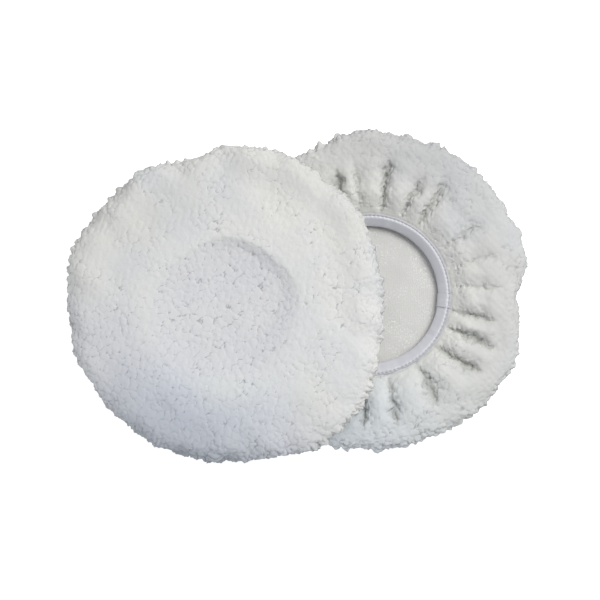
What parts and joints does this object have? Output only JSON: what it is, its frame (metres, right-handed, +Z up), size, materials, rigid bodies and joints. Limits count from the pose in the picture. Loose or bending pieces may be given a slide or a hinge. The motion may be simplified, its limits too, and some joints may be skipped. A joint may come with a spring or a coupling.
{
  "type": "polishing pad",
  "caption": "Round deep-pile fleece polishing bonnets with gathered skirts and elastic-bound mouths, the upper one lying face up and leaning on the lower one, which lies mouth up.",
  "frame": {"origin": "on the floor, under the middle of the set's bounding box", "axes": "+Z up from the floor the lower pad lies on; +X from the upper pad towards the lower pad, the set's length; +Y to the left of +X"},
  "size_m": [0.3625, 0.261, 0.0696],
  "materials": {
    "pile": "matte",
    "backing": "matte",
    "binding": "satin",
    "elastic": "matte",
    "thread": "satin"
  },
  "bodies": {
    "lower_pad": {"lower_face_pile": "pile", "lower_face_backing": "backing", "lower_skirt_pile": "pile", "lower_skirt_backing": "backing"},
    "lower_rim": {"lower_edge_binding": "binding", "lower_binding_lap": "binding", "lower_needle_thread": "thread", "lower_bobbin_thread": "thread"},
    "lower_elastic": {"lower_elastic_strip": "elastic", "lower_elastic_lap": "elastic"},
    "upper_pad": {"upper_face_pile": "pile", "upper_face_backing": "backing", "upper_skirt_pile": "pile", "upper_skirt_backing": "backing"},
    "upper_rim": {"upper_edge_binding": "binding", "upper_binding_lap": "binding", "upper_needle_thread": "thread", "upper_bobbin_thread": "thread"},
    "upper_elastic": {"upper_elastic_strip": "elastic", "upper_elastic_lap": "elastic"}
  },
  "joints": [
    {"name": "upper_pad_tip", "type": "hinge", "parent": "lower_pad", "child": "upper_pad", "pos_m": [-0.16847, -0.0164, 0.0125], "axis": [0.0969, -0.9953, 0], "range_deg": [0, 75]},
    {"name": "lower_rim_rise", "type": "slide", "parent": "lower_pad", "child": "lower_rim", "axis": [0, 0, 1], "range_m": [0, 0.015], "deforming": ["lower_skirt_pile", "lower_skirt_backing"]},
    {"name": "upper_rim_rise", "type": "slide", "parent": "upper_pad", "child": "upper_rim", "axis": [0.1984, 0.0193, -0.9799], "range_m": [0, 0.015], "deforming": ["upper_skirt_pile", "upper_skirt_backing"]},
    {"name": "lower_elastic_creep", "type": "hinge", "parent": "lower_rim", "child": "lower_elastic", "pos_m": [0.0565, 0.0055, 0.0168], "axis": [0, 0, 1], "continuous": true},
    {"name": "upper_elastic_creep", "type": "hinge", "parent": "upper_rim", "child": "upper_elastic", "pos_m": [-0.0579, -0.00564, 0.03071], "axis": [0.1984, 0.0193, -0.9799], "continuous": true}
  ],
  "couplings": [
    {"joint": "lower_rim_rise", "follows": "upper_pad_tip", "m_per_rad": 0.0114},
    {"joint": "upper_rim_rise", "follows": "upper_pad_tip", "m_per_rad": 0.0114}
  ]
}
